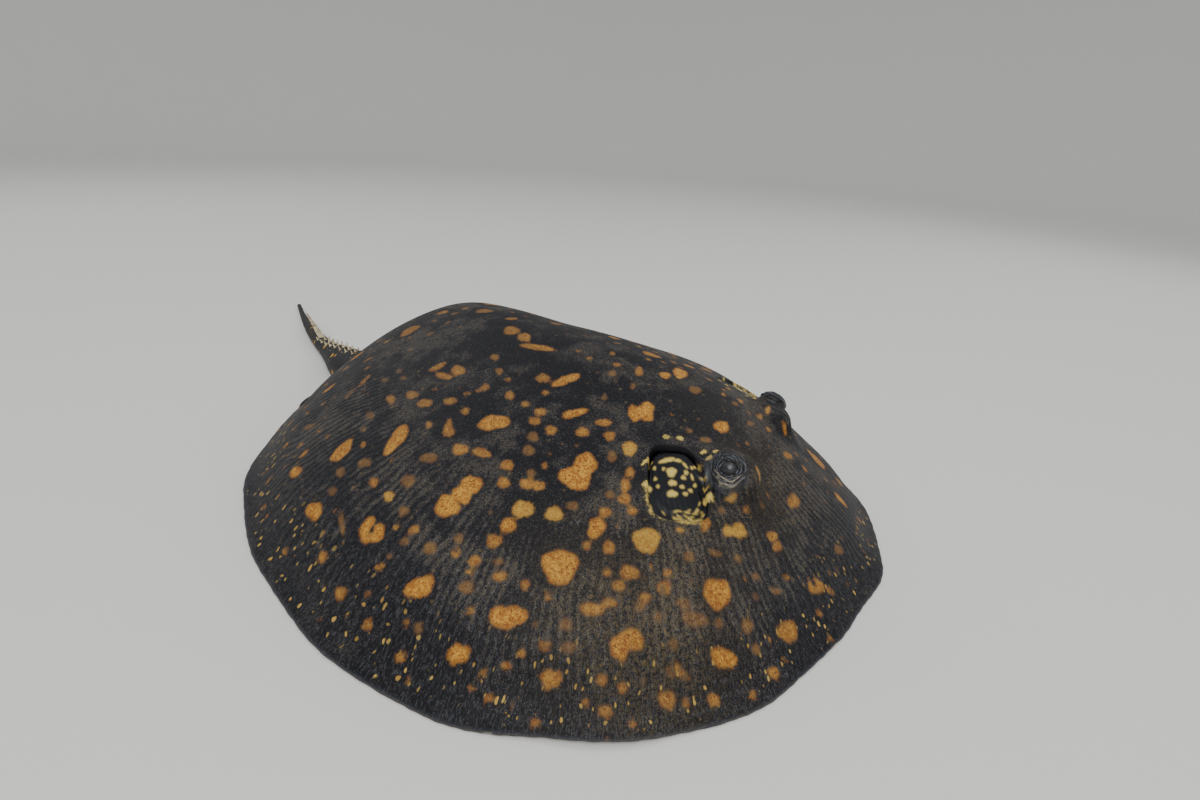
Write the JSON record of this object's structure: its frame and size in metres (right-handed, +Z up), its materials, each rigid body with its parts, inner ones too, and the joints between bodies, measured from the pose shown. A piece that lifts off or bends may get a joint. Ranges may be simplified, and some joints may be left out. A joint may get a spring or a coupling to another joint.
{
  "type": "freshwater stingray",
  "caption": "Large dark freshwater stingray with orange spots, lying still with its back arched, for display.",
  "frame": {"origin": "middle of the whole animal's bounding box at floor level, the level that the fins and tail lie on", "axes": "+Z up out of its back, -Y towards the snout, +Y towards the tail, +X to the animal's left"},
  "size_m": [0.558, 0.9828, 0.1442],
  "materials": {
    "skin": "wet dark skin with orange and cream spots",
    "eye": "glossy",
    "sting": "satin, bone coloured"
  },
  "bodies": {
    "root": {"head": "skin", "trunk": "skin", "pectoral_fin_left": "skin", "pectoral_fin_right": "skin", "pelvic_fin_left": "skin", "pelvic_fin_right": "skin", "tail_base": "skin", "tail_middle": "skin", "tail_tip": "skin", "tail_sting": "sting", "eye_left": "eye", "eye_right": "eye"}
  },
  "joints": []
}
